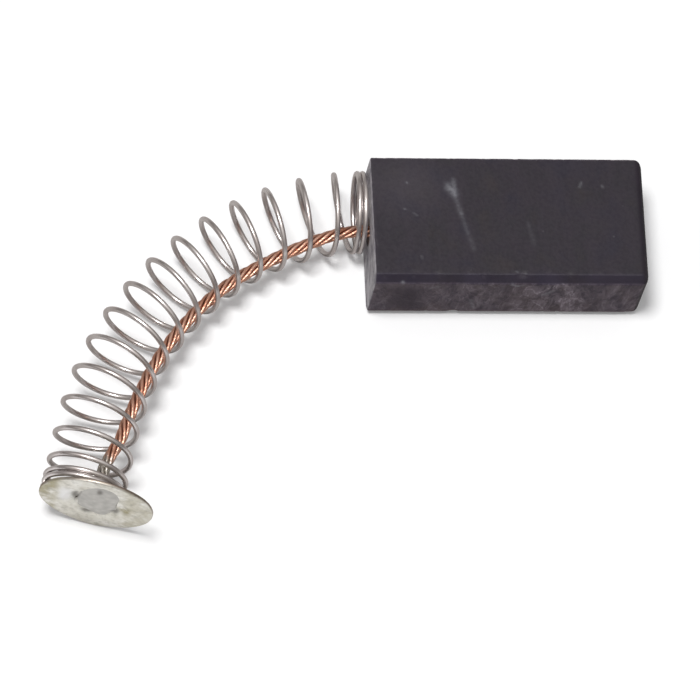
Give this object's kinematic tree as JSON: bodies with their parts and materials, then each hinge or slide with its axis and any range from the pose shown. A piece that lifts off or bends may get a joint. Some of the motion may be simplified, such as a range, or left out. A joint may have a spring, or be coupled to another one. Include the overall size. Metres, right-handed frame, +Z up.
{
  "type": "carbon brush",
  "caption": "Rectangular carbon motor brush with a bent compression spring, a twisted copper shunt inside it and a round terminal disc with a staked, soldered eyelet.",
  "frame": {"origin": "middle of the block's underside, the long face that the brush lies on", "axes": "+X along the block towards the wear face, +Z up from the face it lies on; the spring leaves the -X end and bends round towards -Y"},
  "size_m": [0.0371, 0.0227, 0.0069],
  "materials": {
    "carbon": "pressed carbon-graphite, matt with faint grinding marks",
    "tamping_powder": "packed copper-graphite powder, matt",
    "copper": "bright stranded copper",
    "spring_steel": "drawn wire, satin",
    "tinned_brass": "tinned, dull, slightly yellow",
    "eyelet_metal": "tinned, dull",
    "solder": "smooth grey soft solder"
  },
  "bodies": {
    "root": {"carbon_block": "carbon", "tamping_plug": "tamping_powder", "shunt_core_bundle": "copper", "shunt_bundle_1": "copper", "shunt_bundle_2": "copper", "shunt_bundle_3": "copper", "shunt_bundle_4": "copper", "shunt_bundle_5": "copper", "shunt_bundle_6": "copper", "spring": "spring_steel", "terminal_disc": "tinned_brass", "eyelet": "eyelet_metal", "solder": "solder"}
  },
  "joints": []
}
